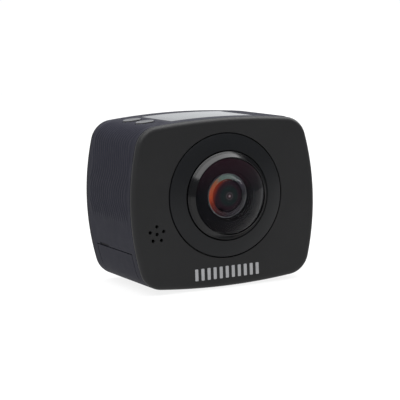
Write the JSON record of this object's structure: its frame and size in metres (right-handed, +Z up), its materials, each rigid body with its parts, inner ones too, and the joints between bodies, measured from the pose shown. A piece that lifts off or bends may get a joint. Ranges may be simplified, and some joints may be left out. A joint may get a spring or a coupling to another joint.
{
  "type": "action camera",
  "caption": "Pocket camera with a fisheye lens on its front and rear, a bowed housing, a display window and push buttons on top, and a battery door that wraps a lower corner.",
  "frame": {"origin": "middle of the base plate's underside, on the plane the camera stands on", "axes": "+Z up, -Y out of the front lens, +Y out of the rear lens, +X to the right seen from the front"},
  "size_m": [0.06, 0.05, 0.0501],
  "materials": {
    "shell": "soft-touch matt black",
    "grip": "matt blue-black with a wavy grip texture",
    "trim": "fine matt black",
    "button": "satin black",
    "gloss": "polished black",
    "dome_glass": "clear, coated",
    "coated_glass": "clear with an amber and green coating",
    "window": "smoked, polished",
    "black_metal": "black anodised, satin",
    "board": "green solder mask",
    "chip": "moulded black",
    "steel": "plated",
    "brass": "turned",
    "frame": "glass-filled dark grey",
    "battery_wrap": "printed-free dark sleeve",
    "rubber": "silicone",
    "copper": "bare copper foil"
  },
  "bodies": {
    "camera": {"side_band": "grip", "front_cover": "shell", "rear_cover": "shell", "front_lens_surround": "trim", "rear_lens_surround": "trim", "front_bezel_ring": "gloss", "rear_bezel_ring": "gloss", "front_lens_dome": "dome_glass", "rear_lens_dome": "dome_glass", "front_second_lens": "coated_glass", "rear_second_lens": "coated_glass", "front_lens_barrel": "black_metal", "rear_lens_barrel": "black_metal", "front_lens_mount": "black_metal", "rear_lens_mount": "black_metal", "front_image_sensor": "chip", "rear_image_sensor": "chip", "front_sensor_board": "board", "rear_sensor_board": "board", "front_board_connector": "chip", "rear_board_connector": "chip", "front_cover_screw_1": "steel", "front_cover_screw_2": "steel", "front_cover_screw_3": "steel", "front_cover_screw_4": "steel", "rear_cover_screw_1": "steel", "rear_cover_screw_2": "steel", "rear_cover_screw_3": "steel", "rear_cover_screw_4": "steel", "main_board": "board", "processor_shield": "steel", "memory_chip": "chip", "inner_frame": "frame", "display_window": "window", "display_module": "chip", "key_board": "board", "power_key_switch": "steel", "mode_key_switch": "steel", "microphone": "steel", "speaker": "black_metal", "antenna": "copper", "battery": "battery_wrap", "battery_contacts": "brass", "card_socket": "steel", "memory_card": "chip", "usb_port": "steel", "hdmi_port": "steel", "base_plate": "black_metal", "tripod_insert": "brass", "base_screw_left": "steel", "base_screw_right": "steel", "door_hinge_pin": "steel"},
    "power_button": {"power_button": "button"},
    "mode_button": {"mode_button": "button"},
    "battery_door": {"battery_door": "grip", "door_seal": "rubber"}
  },
  "joints": [
    {"name": "power_button_press", "type": "slide", "parent": "camera", "child": "power_button", "axis": [0.0923, 0, -0.9957], "range_m": [0, 0.0004], "stiffness_N_per_m": 1500, "springref_m": -0.0006},
    {"name": "mode_button_press", "type": "slide", "parent": "camera", "child": "mode_button", "axis": [0.0923, 0, -0.9957], "range_m": [0, 0.0004], "stiffness_N_per_m": 1500, "springref_m": -0.0006},
    {"name": "battery_door_hinge", "type": "hinge", "parent": "camera", "child": "battery_door", "pos_m": [-0.0123, 0, 0.00166], "axis": [0, -1, 0], "range_deg": [0, 90]}
  ]
}
